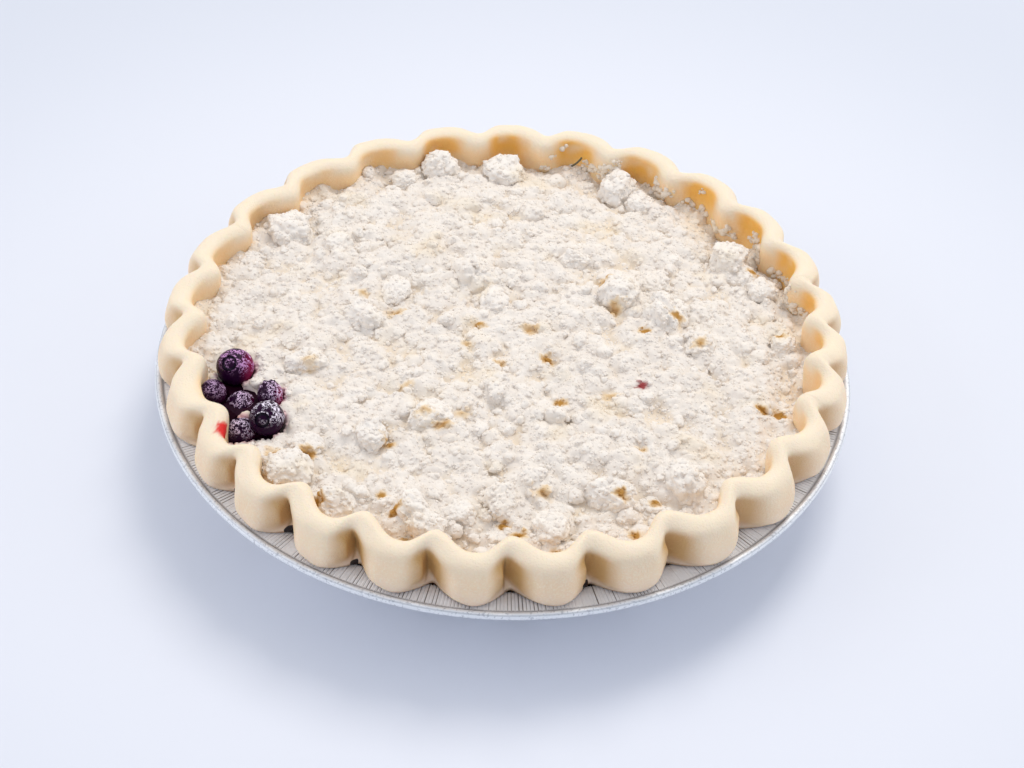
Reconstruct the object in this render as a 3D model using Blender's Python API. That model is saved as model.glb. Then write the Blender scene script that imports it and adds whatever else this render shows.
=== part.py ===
"""Blueberry goat cheese pie, unbaked, in its pleated foil tin.

The tin is a thin turned shell with a flat flange and a rolled rim. The pastry case lines it and is
pressed into 27 flutes that stand on the flange: each flute bulges out as a lobe and is pinched in
again at a fold. The goat cheese filling runs through the case. A cream-coloured crumble covers it
out to the pastry, apart from a pit at the left where six blueberries show.

Metres, +Z up, +X right and +Y away from the viewer. The origin is the centre of the tin's base.
"""
import math
import random

import bmesh
import bpy
from mathutils import Matrix, Vector, noise

SEED = 27
GAP = 0.00035

# Foil tin
TIN_RIM_RADIUS = 0.1225
TIN_BEAD_RADIUS = 0.00135
TIN_RIM_PLANE = 0.0295
TIN_FOIL = 0.0006
TIN_BASE_RADIUS = 0.0935
TIN_WALL_TOP_RADIUS = 0.1110
TIN_SEGMENTS = 48

# Pastry case: sections of the pressed edge as (radius, height), from its foot on the flange over
# the ridge and down the inner face
FLUTES = 27
COLUMNS_PER_FLUTE = 8
FLUTES_START = math.radians(-186.59)
FLUTE_DRIFT = [(1, 1.68, 1.95), (2, 1.09, -1.00), (3, -0.20, 0.74), (4, 0.45, -0.64)]
LOBE_SECTION = [
    (0.1184, 0.0304), (0.1204, 0.0340), (0.1206, 0.0395), (0.1188, 0.0446), (0.1152, 0.0474),
    (0.1122, 0.0458), (0.1112, 0.0420), (0.1098, 0.0365), (0.1076, 0.0327)]
FOLD_SECTION = [
    (0.1099, 0.0307), (0.1096, 0.0345), (0.1097, 0.0410), (0.1107, 0.0478), (0.1080, 0.0508),
    (0.1054, 0.0492), (0.1050, 0.0450), (0.1050, 0.0395), (0.1053, 0.0340)]
OUTER_ROWS = 3
RIDGE_ROWS = 4
FLUTE_RADIUS_JITTER = 0.0006
FLUTE_HEIGHT_JITTER = 0.0007
EDGE_TILT = 0.0014
EDGE_TILT_SIDE = math.radians(-45)
CASE_SEGMENTS = FLUTES * COLUMNS_PER_FLUTE // 4
CASE_OUTSIDE = [(0.1096, 0.0303), (0.1100, 0.0296), (0.0943, 0.0020), (0.0928, 0.0010)]
CASE_INSIDE = [(0.1052, 0.0300), (0.0920, 0.0072), (0.0885, 0.0050)]

# Goat cheese filling
FILLING_SECTION = [(0.0882, 0.0054), (0.0915, 0.0076), (0.1046, 0.0302), (0.1043, 0.0305)]
FILLING_TOP = 0.0305
FILLING_SEGMENTS = 45
BED_REACH_LIMIT = 0.1036

# Blueberries: place of the centre, radius, stretch along the axis and direction of the crown
BERRIES = [
    ((-0.0915, -0.0262, 0.0432), 0.0065, 0.94, (-0.25, -0.55, 0.80)),
    ((-0.0960, -0.0372, 0.0422), 0.0047, 0.95, (-0.60, 0.50, -0.60)),
    ((-0.0882, -0.0376, 0.0348), 0.0055, 0.95, (0.40, 0.60, -0.70)),
    ((-0.0776, -0.0363, 0.0416), 0.0047, 1.10, (0.35, 0.45, 0.82)),
    ((-0.0779, -0.0508, 0.0432), 0.0060, 0.97, (-0.15, -0.80, 0.58)),
    ((-0.0870, -0.0502, 0.0362), 0.0050, 0.93, (0.70, 0.30, -0.65)),
]
BERRY_SEGMENTS = 15
BERRY_RING_ANGLES = [155, 122, 90, 60, 38]

# Crumble
CRUMBLE_UNDERSIDE = FILLING_TOP + GAP
CRUMBLE_FOLD_RADIUS = 0.1041
CRUMBLE_LOBE_RADIUS = 0.1060
CRUMBLE_BASE_RADIUS = 0.1042
CRUMBLE_CENTRE_HEIGHT = 0.0462
CRUMBLE_EDGE_HEIGHT = 0.0405
CRUMBLE_LOW_SIDE_DROP = 0.0058
CRUMBLE_LOW_SIDE = math.radians(45)
CRUMBLE_EDGE_ROUNDING = 0.0030
CRUMBLE_RINGS = [
    (108, [1.0, 0.965]),
    (54, [0.92, 0.86, 0.80, 0.73, 0.66, 0.59, 0.51]),
    (27, [0.43, 0.34, 0.24, 0.13]),
]
CRUMBLE_LUMP_HEIGHT = 0.0034
CRUMBLE_LUMP_SIZE = 0.0190
CRUMBLE_ROUGHNESS = 0.0007
PIT_MARGIN = 0.0011
PIT_OUTER_RADIUS = 0.1150

# Marked clumps of the crumble: angle in degrees, distance from the middle, and size
MARKED_CLUMPS = [
    (146, 0.0955, 0.0165), (108, 0.0975, 0.0120), (93, 0.0985, 0.0130), (69, 0.0965, 0.0150),
    (116, 0.0310, 0.0140), (106, 0.0160, 0.0110), (27, 0.0430, 0.0150), (60, 0.0480, 0.0100),
    (-100, 0.0930, 0.0110), (-122, 0.0880, 0.0110), (-60, 0.0830, 0.0120), (20, 0.0900, 0.0100),
    (38, 0.0935, 0.0095), (-35, 0.0640, 0.0100), (170, 0.0550, 0.0100), (-138, 0.0900, 0.0100),
]
SMALL_CLUMPS = 42
SMALL_CLUMP_SIZES = (0.0066, 0.0104)
CLUMP_REACH_LIMIT = 0.1030
GOLDEN_ANGLE = math.radians(137.508)

MATERIALS = {
    "foil": ((0.78, 0.79, 0.81), 0.32, 1.0),
    "raw_pastry": ((0.84, 0.74, 0.56), 0.55, 0.0),
    "goat_cheese": ((0.36, 0.07, 0.10), 0.45, 0.0),
    "crumble_cream": ((0.88, 0.84, 0.76), 0.90, 0.0),
    "berry_skin": ((0.06, 0.02, 0.07), 0.50, 0.0),
}


def clear_scene():
    """Remove whatever the file held before."""
    for item in list(bpy.data.objects):
        bpy.data.objects.remove(item)


def make_material(name):
    """A Principled material with the colour, roughness and metallic value of one finish."""
    colour, roughness, metallic = MATERIALS[name]
    material = bpy.data.materials.new(name)
    material.use_nodes = True
    shader = material.node_tree.nodes["Principled BSDF"]
    shader.inputs["Base Color"].default_value = (*colour, 1.0)
    shader.inputs["Roughness"].default_value = roughness
    shader.inputs["Metallic"].default_value = metallic
    return material


def new_object(name, bm, material):
    """Put a bmesh into the scene as a named, smooth-shaded object."""
    bmesh.ops.recalc_face_normals(bm, faces=bm.faces)
    mesh = bpy.data.meshes.new(name)
    bm.to_mesh(mesh)
    bm.free()
    mesh.shade_smooth()
    mesh.set_sharp_from_angle(angle=math.radians(50))
    mesh.materials.append(material)
    item = bpy.data.objects.new(name, mesh)
    bpy.context.scene.collection.objects.link(item)
    return item


def polar(radius, angle, height):
    """A point given by its distance from the pie's axis, its angle and its height."""
    return Vector((radius * math.cos(angle), radius * math.sin(angle), height))


def spin_section(section, segments):
    """Turn an open section, whose ends lie on the axis, once round the axis."""
    bm = bmesh.new()
    points = [bm.verts.new((radius, 0, height)) for radius, height in section]
    edges = [bm.edges.new(pair) for pair in zip(points, points[1:])]
    bmesh.ops.spin(bm, geom=points + edges, cent=(0, 0, 0), axis=(0, 0, 1),
                   angle=math.tau, steps=segments, use_merge=True)
    bmesh.ops.remove_doubles(bm, verts=bm.verts, dist=0.00001)
    return bm


def add_ring(bm, points):
    """A closed ring of vertices."""
    return [bm.verts.new(point) for point in points]


def bridge_equal(bm, first, second):
    """Quads between two rings with the same number of vertices."""
    count = len(first)
    for i in range(count):
        j = (i + 1) % count
        bm.faces.new((first[i], first[j], second[j], second[i]))


def bridge_coarser(bm, fine, coarse):
    """Triangles between a fine ring and a ring with a whole fraction of its vertices."""
    ratio = len(fine) // len(coarse)
    for k, corner in enumerate(coarse):
        start = k * ratio
        for i in range(start - ratio // 2, start + ratio // 2):
            bm.faces.new((fine[i], fine[(i + 1) % len(fine)], corner))
        middle = fine[(start + ratio // 2) % len(fine)]
        bm.faces.new((middle, coarse[(k + 1) % len(coarse)], corner))


def close_ring(bm, ring, height):
    """A fan of triangles from a ring to a point on the axis."""
    centre = bm.verts.new((0, 0, height))
    for i, vertex in enumerate(ring):
        bm.faces.new((vertex, ring[(i + 1) % len(ring)], centre))


def make_tin(material):
    """The foil tin: base, sloping wall, flat flange and rolled rim, in one thin shell."""
    bead_centre = TIN_RIM_RADIUS - TIN_BEAD_RADIUS
    bead_angles = [200, 250, 305, 0, 45, 90, 140]
    bead = [(bead_centre + TIN_BEAD_RADIUS * math.cos(math.radians(a)),
             TIN_RIM_PLANE + TIN_BEAD_RADIUS * math.sin(math.radians(a))) for a in bead_angles]
    flange_under = TIN_RIM_PLANE - TIN_FOIL / 3
    flange_top = flange_under + TIN_FOIL
    flange_end = bead_centre - TIN_BEAD_RADIUS
    slope = 0.0005
    outside = [(0, 0), (TIN_BASE_RADIUS, 0), (TIN_BASE_RADIUS + 0.0015, 0.0010),
               (TIN_WALL_TOP_RADIUS, flange_under), (flange_end - 0.0002, flange_under)]
    inside = [(flange_end - 0.0002, flange_top), (TIN_WALL_TOP_RADIUS - 0.0001, flange_top),
              (TIN_WALL_TOP_RADIUS - TIN_FOIL, flange_top - TIN_FOIL / 2),
              (TIN_BASE_RADIUS + 0.0015 - slope, 0.0010 + TIN_FOIL / 2),
              (TIN_BASE_RADIUS - slope, TIN_FOIL), (0, TIN_FOIL)]
    return new_object("tin", spin_section(outside + bead + inside, TIN_SEGMENTS), material)


def flute_angle(turn):
    """Angle of a column of the pastry edge: the flutes are a little closer in front than behind."""
    drift = sum(c * math.cos(order * turn) + s * math.sin(order * turn) for order, c, s in FLUTE_DRIFT)
    return FLUTES_START + turn + math.radians(drift)


def lobe_share(phase, row):
    """0 at a fold, 1 at a lobe. The lobes fall away fast on one side, and dents are narrower outside."""
    if row < OUTER_ROWS:
        skew, breadth = 0.50, 0.60
    elif row < OUTER_ROWS + RIDGE_ROWS:
        skew, breadth = 0.30, 1.00
    else:
        skew, breadth = 0.15, 1.00
    wave = math.cos(phase + skew * (1 - math.cos(phase)))
    return ((1 + wave) / 2) ** breadth


def smooth_between(values, place):
    """A value between neighbours of a cyclic list, with no jumps."""
    index = int(math.floor(place))
    blend = (1 - math.cos(math.pi * (place - index))) / 2
    return values[index % len(values)] * (1 - blend) + values[(index + 1) % len(values)] * blend


def edge_rows():
    """The rings of points of the pressed edge, each with its own section between lobe and fold."""
    draw = random.Random(SEED)
    radius_shift = [draw.uniform(-1, 1) * FLUTE_RADIUS_JITTER for _ in range(FLUTES)]
    height_shift = [draw.uniform(-1, 1) * FLUTE_HEIGHT_JITTER for _ in range(FLUTES)]
    columns = FLUTES * COLUMNS_PER_FLUTE
    top = max(height for radius, height in FOLD_SECTION)
    rows = []
    for row, (lobe, fold) in enumerate(zip(LOBE_SECTION, FOLD_SECTION)):
        points = []
        for column in range(columns):
            turn = math.tau * column / columns
            share = lobe_share(FLUTES * turn % math.tau, row)
            place = column / COLUMNS_PER_FLUTE
            lift = max(0, (lobe[1] - TIN_RIM_PLANE - 0.003) / (top - TIN_RIM_PLANE))
            radius = fold[0] + (lobe[0] - fold[0]) * share
            radius += smooth_between(radius_shift, place) * share
            height = fold[1] + (lobe[1] - fold[1]) * share
            tilt = EDGE_TILT * math.cos(flute_angle(turn) - EDGE_TILT_SIDE)
            height += (smooth_between(height_shift, place) + tilt) * lift
            points.append(polar(radius, flute_angle(turn), height))
        rows.append(points)
    return rows


def make_crust(material):
    """The raw pastry case: floor, wall and fluted edge, in one solid."""
    bm = bmesh.new()
    rings = [add_ring(bm, points) for points in edge_rows()]
    for first, second in zip(rings, rings[1:]):
        bridge_equal(bm, first, second)
    turns = [math.tau * k / CASE_SEGMENTS for k in range(CASE_SEGMENTS)]
    outside = [add_ring(bm, [polar(r, flute_angle(t), z) for t in turns]) for r, z in CASE_OUTSIDE]
    inside = [add_ring(bm, [polar(r, flute_angle(t), z) for t in turns]) for r, z in CASE_INSIDE]
    bridge_coarser(bm, rings[0], outside[0])
    bridge_coarser(bm, rings[-1], inside[0])
    for side in (outside, inside):
        for first, second in zip(side, side[1:]):
            bridge_equal(bm, first, second)
        close_ring(bm, side[-1], side[-1][0].co.z)
    return new_object("crust", bm, material)


def make_berry(name, berry, material):
    """A blueberry: a slightly flattened ball with a five-pointed crown round a small crater."""
    centre, radius, stretch, crown = berry
    bm = bmesh.new()
    rings = []
    turns = [math.tau * k / BERRY_SEGMENTS for k in range(BERRY_SEGMENTS)]
    for angle in BERRY_RING_ANGLES:
        across = radius * math.sin(math.radians(angle))
        along = radius * math.cos(math.radians(angle))
        rings.append(add_ring(bm, [polar(across, t, along) for t in turns]))
    point_step = BERRY_SEGMENTS // 5
    tips = [1.0 if k % point_step == 0 else 0.0 for k in range(BERRY_SEGMENTS)]
    rings.append(add_ring(bm, [polar(radius * (0.40 + 0.04 * tip), t, radius * (0.92 + 0.06 * tip))
                               for t, tip in zip(turns, tips)]))
    rings.append(add_ring(bm, [polar(radius * 0.27, t, radius * 0.78) for t in turns]))
    for first, second in zip(rings, rings[1:]):
        bridge_equal(bm, first, second)
    close_ring(bm, rings[0], -radius)
    close_ring(bm, rings[-1], radius * 0.76)
    turn = Vector((0, 0, 1)).rotation_difference(Vector(crown)).to_matrix().to_4x4()
    shape = Matrix.Diagonal((1, 1, stretch, 1))
    bmesh.ops.transform(bm, matrix=Matrix.Translation(centre) @ turn @ shape, verts=bm.verts)
    return new_object(name, bm, material)


def plain_object(name, bm):
    """Put a bmesh into the scene as an object that is joined to another one later."""
    bmesh.ops.recalc_face_normals(bm, faces=bm.faces)
    mesh = bpy.data.meshes.new(name)
    bm.to_mesh(mesh)
    bm.free()
    item = bpy.data.objects.new(name, mesh)
    bpy.context.scene.collection.objects.link(item)
    return item


def hull_object(name, points):
    """The smallest closed solid round a set of points."""
    bm = bmesh.new()
    verts = [bm.verts.new(point) for point in points]
    result = bmesh.ops.convex_hull(bm, input=verts)
    spare = [item for item in result["geom_interior"] if isinstance(item, bmesh.types.BMVert)]
    bmesh.ops.delete(bm, geom=spare, context="VERTS")
    return plain_object(name, bm)


def apply_boolean(item, tools, operation):
    """Join or cut an object with a group of others in one step, then remove the group."""
    group = bpy.data.collections.new("group")
    bpy.context.scene.collection.children.link(group)
    for tool in tools:
        bpy.context.scene.collection.objects.unlink(tool)
        group.objects.link(tool)
    step = item.modifiers.new("join", "BOOLEAN")
    step.operation = operation
    step.operand_type = "COLLECTION"
    step.collection = group
    step.solver = "EXACT"
    bpy.context.view_layer.update()
    graph = bpy.context.evaluated_depsgraph_get()
    joined = bpy.data.meshes.new_from_object(item.evaluated_get(graph))
    item.modifiers.clear()
    item.data = joined
    for tool in tools:
        bpy.data.objects.remove(tool)
    bpy.data.collections.remove(group)


def connected_faces(start, unseen):
    """The faces that hang together with a first one over shared edges; they leave the unseen set."""
    body = [start]
    front = [start]
    while front:
        face = front.pop()
        for edge in face.edges:
            for other in edge.link_faces:
                if other in unseen:
                    unseen.remove(other)
                    body.append(other)
                    front.append(other)
    return body


def keep_largest_body(item):
    """Drop loose scraps and sealed hollows that joining has left."""
    bm = bmesh.new()
    bm.from_mesh(item.data)
    bmesh.ops.triangulate(bm, faces=bm.faces)
    unseen = set(bm.faces)
    bodies = []
    while unseen:
        bodies.append(connected_faces(unseen.pop(), unseen))
    bodies.sort(key=len, reverse=True)
    for body in bodies[1:]:
        bmesh.ops.delete(bm, geom=body, context="FACES")
    bm.to_mesh(item.data)
    bm.free()


def circle_points(centre, radius, height, count=16):
    """Points on a level circle."""
    middle = Vector((centre[0], centre[1], 0))
    return [middle + polar(radius, math.tau * k / count, height) for k in range(count)]


def within(point, limit):
    """The point, drawn in towards the axis where it lies beyond a radius."""
    radius = math.hypot(point.x, point.y)
    scale = min(1.0, limit / radius)
    return Vector((point.x * scale, point.y * scale, point.z))


def berry_socket(berry, clearance):
    """A ball a little larger than a berry, to cut its bed."""
    centre, radius, stretch, crown = berry
    bm = bmesh.new()
    reach = radius * max(1.0, stretch) * 1.06 + clearance
    bmesh.ops.create_uvsphere(bm, u_segments=8, v_segments=6, radius=reach, matrix=Matrix.Translation(centre))
    return plain_object("socket", bm)


def make_filling(material):
    """The filling: it fills the case, and rises into the pit as a bed that fits the berries."""
    section = [(0, FILLING_SECTION[0][1])] + FILLING_SECTION + [(0, FILLING_TOP)]
    item = new_object("filling", spin_section(section, FILLING_SEGMENTS), material)
    bed = []
    for centre, radius, stretch, crown in BERRIES:
        bed += circle_points(centre, radius * 0.85, FILLING_TOP - 0.002, 10)
        bed += circle_points(centre, radius * 0.60, centre[2] - radius * 0.62, 10)
    bed = [within(point, BED_REACH_LIMIT) for point in bed]
    apply_boolean(item, [hull_object("bed", bed)], "UNION")
    apply_boolean(item, [berry_socket(berry, GAP) for berry in BERRIES], "DIFFERENCE")
    keep_largest_body(item)
    return item


def crumble_height(share, angle):
    """Height of the crumble's core at a share of its radius: a low dome, lower behind at the right."""
    towards = max(0.0, math.cos(angle - CRUMBLE_LOW_SIDE))
    edge = CRUMBLE_EDGE_HEIGHT - CRUMBLE_LOW_SIDE_DROP * towards ** 1.5
    dome = (1 - share ** 2.4) ** 0.8
    return edge + (CRUMBLE_CENTRE_HEIGHT - edge) * dome


def lump_height(point):
    """Rounded lumps side by side, with creases between them: the height over the core's mean surface."""
    from_middle = noise.voronoi(point / CRUMBLE_LUMP_SIZE)[0][0]
    return CRUMBLE_LUMP_HEIGHT * (0.45 - from_middle)


def crumble_ring(share, segments, draw):
    """One uneven ring of the crumble's upper side; its outermost rings follow the pastry's flutes."""
    points = []
    for k in range(segments):
        turn = math.tau * k / segments
        angle = flute_angle(turn)
        in_lobe = (1 + math.cos(FLUTES * turn)) / 2
        reach = CRUMBLE_FOLD_RADIUS + (CRUMBLE_LOBE_RADIUS - CRUMBLE_FOLD_RADIUS) * in_lobe
        point = polar(reach * share, angle, crumble_height(share, angle))
        if share == 1.0:
            point.z -= CRUMBLE_EDGE_ROUNDING
        point.z += lump_height(point)
        point.z += draw.uniform(-1, 1) * CRUMBLE_ROUGHNESS
        points.append(point)
    return points


def crumble_core(material):
    """The crumble without its clumps: a lumpy domed disc whose edge follows the pastry's flutes."""
    bm = bmesh.new()
    draw = random.Random(SEED + 2)
    edge_segments = CRUMBLE_RINGS[0][0]
    turns = [math.tau * k / edge_segments for k in range(edge_segments)]
    foot = add_ring(bm, [polar(CRUMBLE_BASE_RADIUS, flute_angle(t), CRUMBLE_UNDERSIDE) for t in turns])
    last = foot
    for segments, shares in CRUMBLE_RINGS:
        for share in shares:
            ring = add_ring(bm, crumble_ring(share, segments, draw))
            bridge = bridge_equal if len(ring) == len(last) else bridge_coarser
            bridge(bm, last, ring)
            last = ring
    close_ring(bm, foot, CRUMBLE_UNDERSIDE)
    close_ring(bm, last, CRUMBLE_CENTRE_HEIGHT)
    return new_object("crumble", bm, material)


def cut_pit(item):
    """Open the crumble round the berries, out to the pastry."""
    points = []
    for centre, radius, stretch, crown in BERRIES:
        reach = radius * max(1.0, stretch) + PIT_MARGIN
        points += circle_points(centre, reach - 0.0010, CRUMBLE_UNDERSIDE - 0.005)
        points += circle_points(centre, reach, CRUMBLE_CENTRE_HEIGHT + 0.010)
    for centre, radius, stretch, crown in (BERRIES[1], BERRIES[5]):
        out = Vector((centre[0], centre[1], 0)).normalized() * PIT_OUTER_RADIUS
        points += circle_points(out, 0.004, CRUMBLE_UNDERSIDE - 0.005)
        points += circle_points(out, 0.004, CRUMBLE_CENTRE_HEIGHT + 0.010)
    apply_boolean(item, [hull_object("pit", points)], "DIFFERENCE")


def make_clump(name, angle, distance, size, draw):
    """One clump of crumble: a lumpy, turned ball sunk into the core's surface."""
    round_segments, rings = (7, 5) if size > SMALL_CLUMP_SIZES[1] else (5, 4)
    bm = bmesh.new()
    bmesh.ops.create_uvsphere(bm, u_segments=round_segments, v_segments=rings, radius=size / 2)
    offset = Vector((draw.uniform(0, 50), draw.uniform(0, 50), draw.uniform(0, 50)))
    for vertex in bm.verts:
        lump = noise.noise(vertex.co / size * 2.2 + offset)
        vertex.co *= 1 + 0.30 * lump
    turn = Matrix.Rotation(draw.uniform(0, math.tau), 4, "Z") @ Matrix.Rotation(draw.uniform(0, math.pi), 4, "X")
    shape = Matrix.Diagonal((1.0, draw.uniform(0.80, 1.0), draw.uniform(0.62, 0.82), 1))
    share = distance / CRUMBLE_FOLD_RADIUS
    place = polar(distance, angle, crumble_height(share, angle) + size * draw.uniform(-0.02, 0.12))
    bmesh.ops.transform(bm, matrix=Matrix.Translation(place) @ shape @ turn, verts=bm.verts)
    return plain_object(name, bm)


def clear_of_berries(point, size):
    """Whether a clump at this place stays off the berries and the pit's mouth."""
    for centre, radius, stretch, crown in BERRIES:
        apart = math.hypot(point.x - centre[0], point.y - centre[1])
        if apart < radius * max(1.0, stretch) + size * 0.62 + 0.0006:
            return False
    return True


def make_crumble(material):
    """The crumble: its core with the pit, and the clumps that show on it, fused in one solid."""
    item = crumble_core(material)
    cut_pit(item)
    draw = random.Random(SEED + 1)
    clumps = []
    for degrees, distance, size in MARKED_CLUMPS:
        clumps.append((math.radians(degrees), distance, size))
    for number in range(SMALL_CLUMPS):
        size = draw.uniform(*SMALL_CLUMP_SIZES)
        distance = (CRUMBLE_FOLD_RADIUS - 0.004) * math.sqrt((number + 0.7) / SMALL_CLUMPS)
        angle = number * GOLDEN_ANGLE + draw.uniform(-0.05, 0.05)
        clumps.append((angle, distance, size))
    clumps.sort(key=lambda clump: clump[2], reverse=True)
    pieces = []
    for number, (angle, distance, size) in enumerate(clumps):
        distance = min(distance, CLUMP_REACH_LIMIT - size * 0.60)
        if clear_of_berries(polar(distance, angle, 0), size):
            pieces.append(make_clump(f"clump_{number}", angle, distance, size, draw))
    apply_boolean(item, pieces, "UNION")
    keep_largest_body(item)
    item.data.materials.clear()
    item.data.materials.append(material)
    return item


def main():
    clear_scene()
    finishes = {name: make_material(name) for name in MATERIALS}
    make_tin(finishes["foil"])
    make_crust(finishes["raw_pastry"])
    make_filling(finishes["goat_cheese"])
    make_crumble(finishes["crumble_cream"])
    for number, berry in enumerate(BERRIES, start=1):
        make_berry(f"berry_{number}", berry, finishes["berry_skin"])


main()
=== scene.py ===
# %% [markdown]
# # Dressing a blueberry goat cheese pie
#
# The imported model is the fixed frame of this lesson. It holds a foil tin, a raw pastry case with 27
# pressed flutes, a filling, a crumble lid and six blueberries, each at its real place and size in
# metres. The cells below put finished pieces in the places of those plain solids, one material after
# the other, and add the loose crumbs that the solids leave out.
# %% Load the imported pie
import math

import bpy
import numpy as np
from mathutils import Matrix, Vector, noise
from mathutils.bvhtree import BVHTree


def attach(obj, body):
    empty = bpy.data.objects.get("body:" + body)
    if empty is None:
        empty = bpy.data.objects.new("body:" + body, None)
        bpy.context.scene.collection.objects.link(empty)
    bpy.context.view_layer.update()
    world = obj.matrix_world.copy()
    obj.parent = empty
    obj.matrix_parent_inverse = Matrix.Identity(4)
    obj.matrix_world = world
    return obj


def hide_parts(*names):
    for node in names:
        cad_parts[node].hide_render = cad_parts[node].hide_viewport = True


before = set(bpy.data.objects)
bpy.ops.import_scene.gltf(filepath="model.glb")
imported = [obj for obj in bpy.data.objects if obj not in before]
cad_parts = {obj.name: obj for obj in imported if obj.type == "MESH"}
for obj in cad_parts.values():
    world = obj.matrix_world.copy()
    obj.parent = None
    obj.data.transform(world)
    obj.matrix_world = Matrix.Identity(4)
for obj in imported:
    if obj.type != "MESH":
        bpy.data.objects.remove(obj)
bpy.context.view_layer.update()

# %% [markdown]
# ## Small helpers
#
# An operator acts on whatever is selected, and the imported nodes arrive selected. So each piece starts
# from an empty selection. The other helpers read and write all the points of a mesh at once, which
# keeps a mesh of a hundred thousand points quick to shape.
# %% Helpers for selecting, reading and writing
def deselect_everything():
    """Leave edit mode and select nothing."""
    if bpy.context.mode != "OBJECT":
        bpy.ops.object.mode_set(mode="OBJECT")
    bpy.ops.object.select_all(action="DESELECT")


def add_alone(add, name, **values):
    """Call an operator that adds an object, with nothing else selected, and name the object."""
    deselect_everything()
    add(**values)
    piece = bpy.context.object
    piece.name = name
    return piece


def edit_alone(piece):
    """Open one piece in edit mode, with nothing else selected."""
    deselect_everything()
    bpy.context.view_layer.objects.active = piece
    piece.select_set(True)
    bpy.ops.object.mode_set(mode="EDIT")


def points_of(piece):
    """All the points of a mesh as rows of x, y and z."""
    points = np.zeros(len(piece.data.vertices) * 3, np.float32)
    piece.data.vertices.foreach_get("co", points)
    return points.reshape(-1, 3).astype(float)


def put_points(piece, points):
    """Write the points of a mesh back."""
    piece.data.vertices.foreach_set("co", np.asarray(points, np.float32).ravel())
    piece.data.update()


def put_values(piece, **layers):
    """Store one number for each point under each name, which a material can read as an attribute."""
    for name, values in layers.items():
        layer = piece.data.attributes.new(name, "FLOAT", "POINT")
        layer.data.foreach_set("value", np.asarray(values, np.float32))


def round_axis(radius, angle, height=0.0):
    """Points at a radius, an angle and a height round the pie's axis."""
    return np.column_stack([radius * np.cos(angle), radius * np.sin(angle), np.full(len(angle), height)])


def angle_of(points):
    """The angle of each point round the axis."""
    return np.arctan2(points[:, 1], points[:, 0])


def apart_from(points, x=0.0, y=0.0):
    """How far each point lies from an upright line, which is the axis if no place is given."""
    return np.hypot(points[:, 0] - x, points[:, 1] - y)


def rough(points, size, offset=0.0):
    """Smooth noise from -1 to 1 at each point, with bumps of about the given size."""
    shifted = (points / size + offset).tolist()
    return np.array([noise.noise(point) for point in shifted])


def cells(points, size, offset=0.0):
    """How far each point lies from the middle of its cell, in cell sizes, for cells of a given size."""
    shifted = (points / size + offset).tolist()
    return np.array([noise.voronoi(point)[0][0] for point in shifted])


def domes(points, size, offset=0.0):
    """Rounded lumps of about the given size: 1 on top of each and 0 in the valleys between them."""
    return np.clip(1 - 1.8 * cells(points, size, offset) ** 2, 0, 1)


def smooth_step(low, high, values):
    """0 below low, 1 above high, with an even rise between them."""
    share = np.clip((values - low) / (high - low), 0, 1)
    return share * share * (3 - 2 * share)


# %% [markdown]
# A tube of plain rings is the start of everything that runs round this pie. Its circle is added as a
# primitive and drawn up with a Screw modifier that doesn't turn. A rule then moves each point: the
# point's angle says how far round the pie it is, and its height says which ring it belongs to.
# %% A plain tube of rings
TUBE_STEP = 0.001
SAME_PLACE = 0.000002


def plain_tube(name, columns, rows):
    """An open tube of radius 1 whose rings lie one step apart."""
    circle = bpy.ops.mesh.primitive_circle_add
    tube = add_alone(circle, name, vertices=columns, radius=1.0, fill_type="NOTHING")
    screw = tube.modifiers.new("rings", "SCREW")
    screw.angle = 0.0
    screw.screw_offset = TUBE_STEP * (rows - 1)
    screw.steps = rows - 1
    screw.render_steps = rows - 1
    screw.use_smooth_shade = True
    bpy.ops.object.modifier_apply(modifier=screw.name)
    return tube


def turn_and_row(tube):
    """The turn round the axis, from 0 to a full turn, and the ring number of each point of a tube."""
    points = points_of(tube)
    turn = angle_of(points) % math.tau
    row = np.rint(points[:, 2] / TUBE_STEP)
    return turn, row


def close_and_smooth(piece, angle):
    """Merge points that have come together, point all faces outwards and shade the piece smooth."""
    edit_alone(piece)
    bpy.ops.mesh.select_all(action="SELECT")
    bpy.ops.mesh.remove_doubles(threshold=SAME_PLACE)
    bpy.ops.mesh.normals_make_consistent(inside=False)
    bpy.ops.object.mode_set(mode="OBJECT")
    bpy.ops.object.shade_smooth_by_angle(angle=math.radians(angle))


def place_on_pie(piece, material, slot, *nodes):
    """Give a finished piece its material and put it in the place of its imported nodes."""
    piece.data.materials.clear()
    piece.data.materials.append(material)
    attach(piece, "root")
    if nodes:
        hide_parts(*nodes)
    print(piece.name, len(piece.data.polygons), "faces")


# %% [markdown]
# ## Camera, light and floor
#
# The photograph looks down on the pie at 42 degrees. Its camera was worked out from the ellipse of the
# rim: the lens, the distance and the small roll are those that lay the tin's rim and the flutes' feet
# where they are seen.
# %% The camera
CAMERA_ELEVATION = 0.73286
CAMERA_ROLL = 0.05055
CAMERA_DISTANCE = 0.76989
CAMERA_TARGET = Vector((0.00314, -0.01288, 0.030))
CAMERA_FOCAL_PIXELS = 2200
PHOTO_WIDTH = 1024
SENSOR_WIDTH = 36.0

forward = Vector((0, math.cos(CAMERA_ELEVATION), -math.sin(CAMERA_ELEVATION)))
level_up = Vector((0, math.sin(CAMERA_ELEVATION), math.cos(CAMERA_ELEVATION)))
level_right = Vector((1, 0, 0))
right = math.cos(CAMERA_ROLL) * level_right + math.sin(CAMERA_ROLL) * level_up
up = math.cos(CAMERA_ROLL) * level_up - math.sin(CAMERA_ROLL) * level_right

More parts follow.
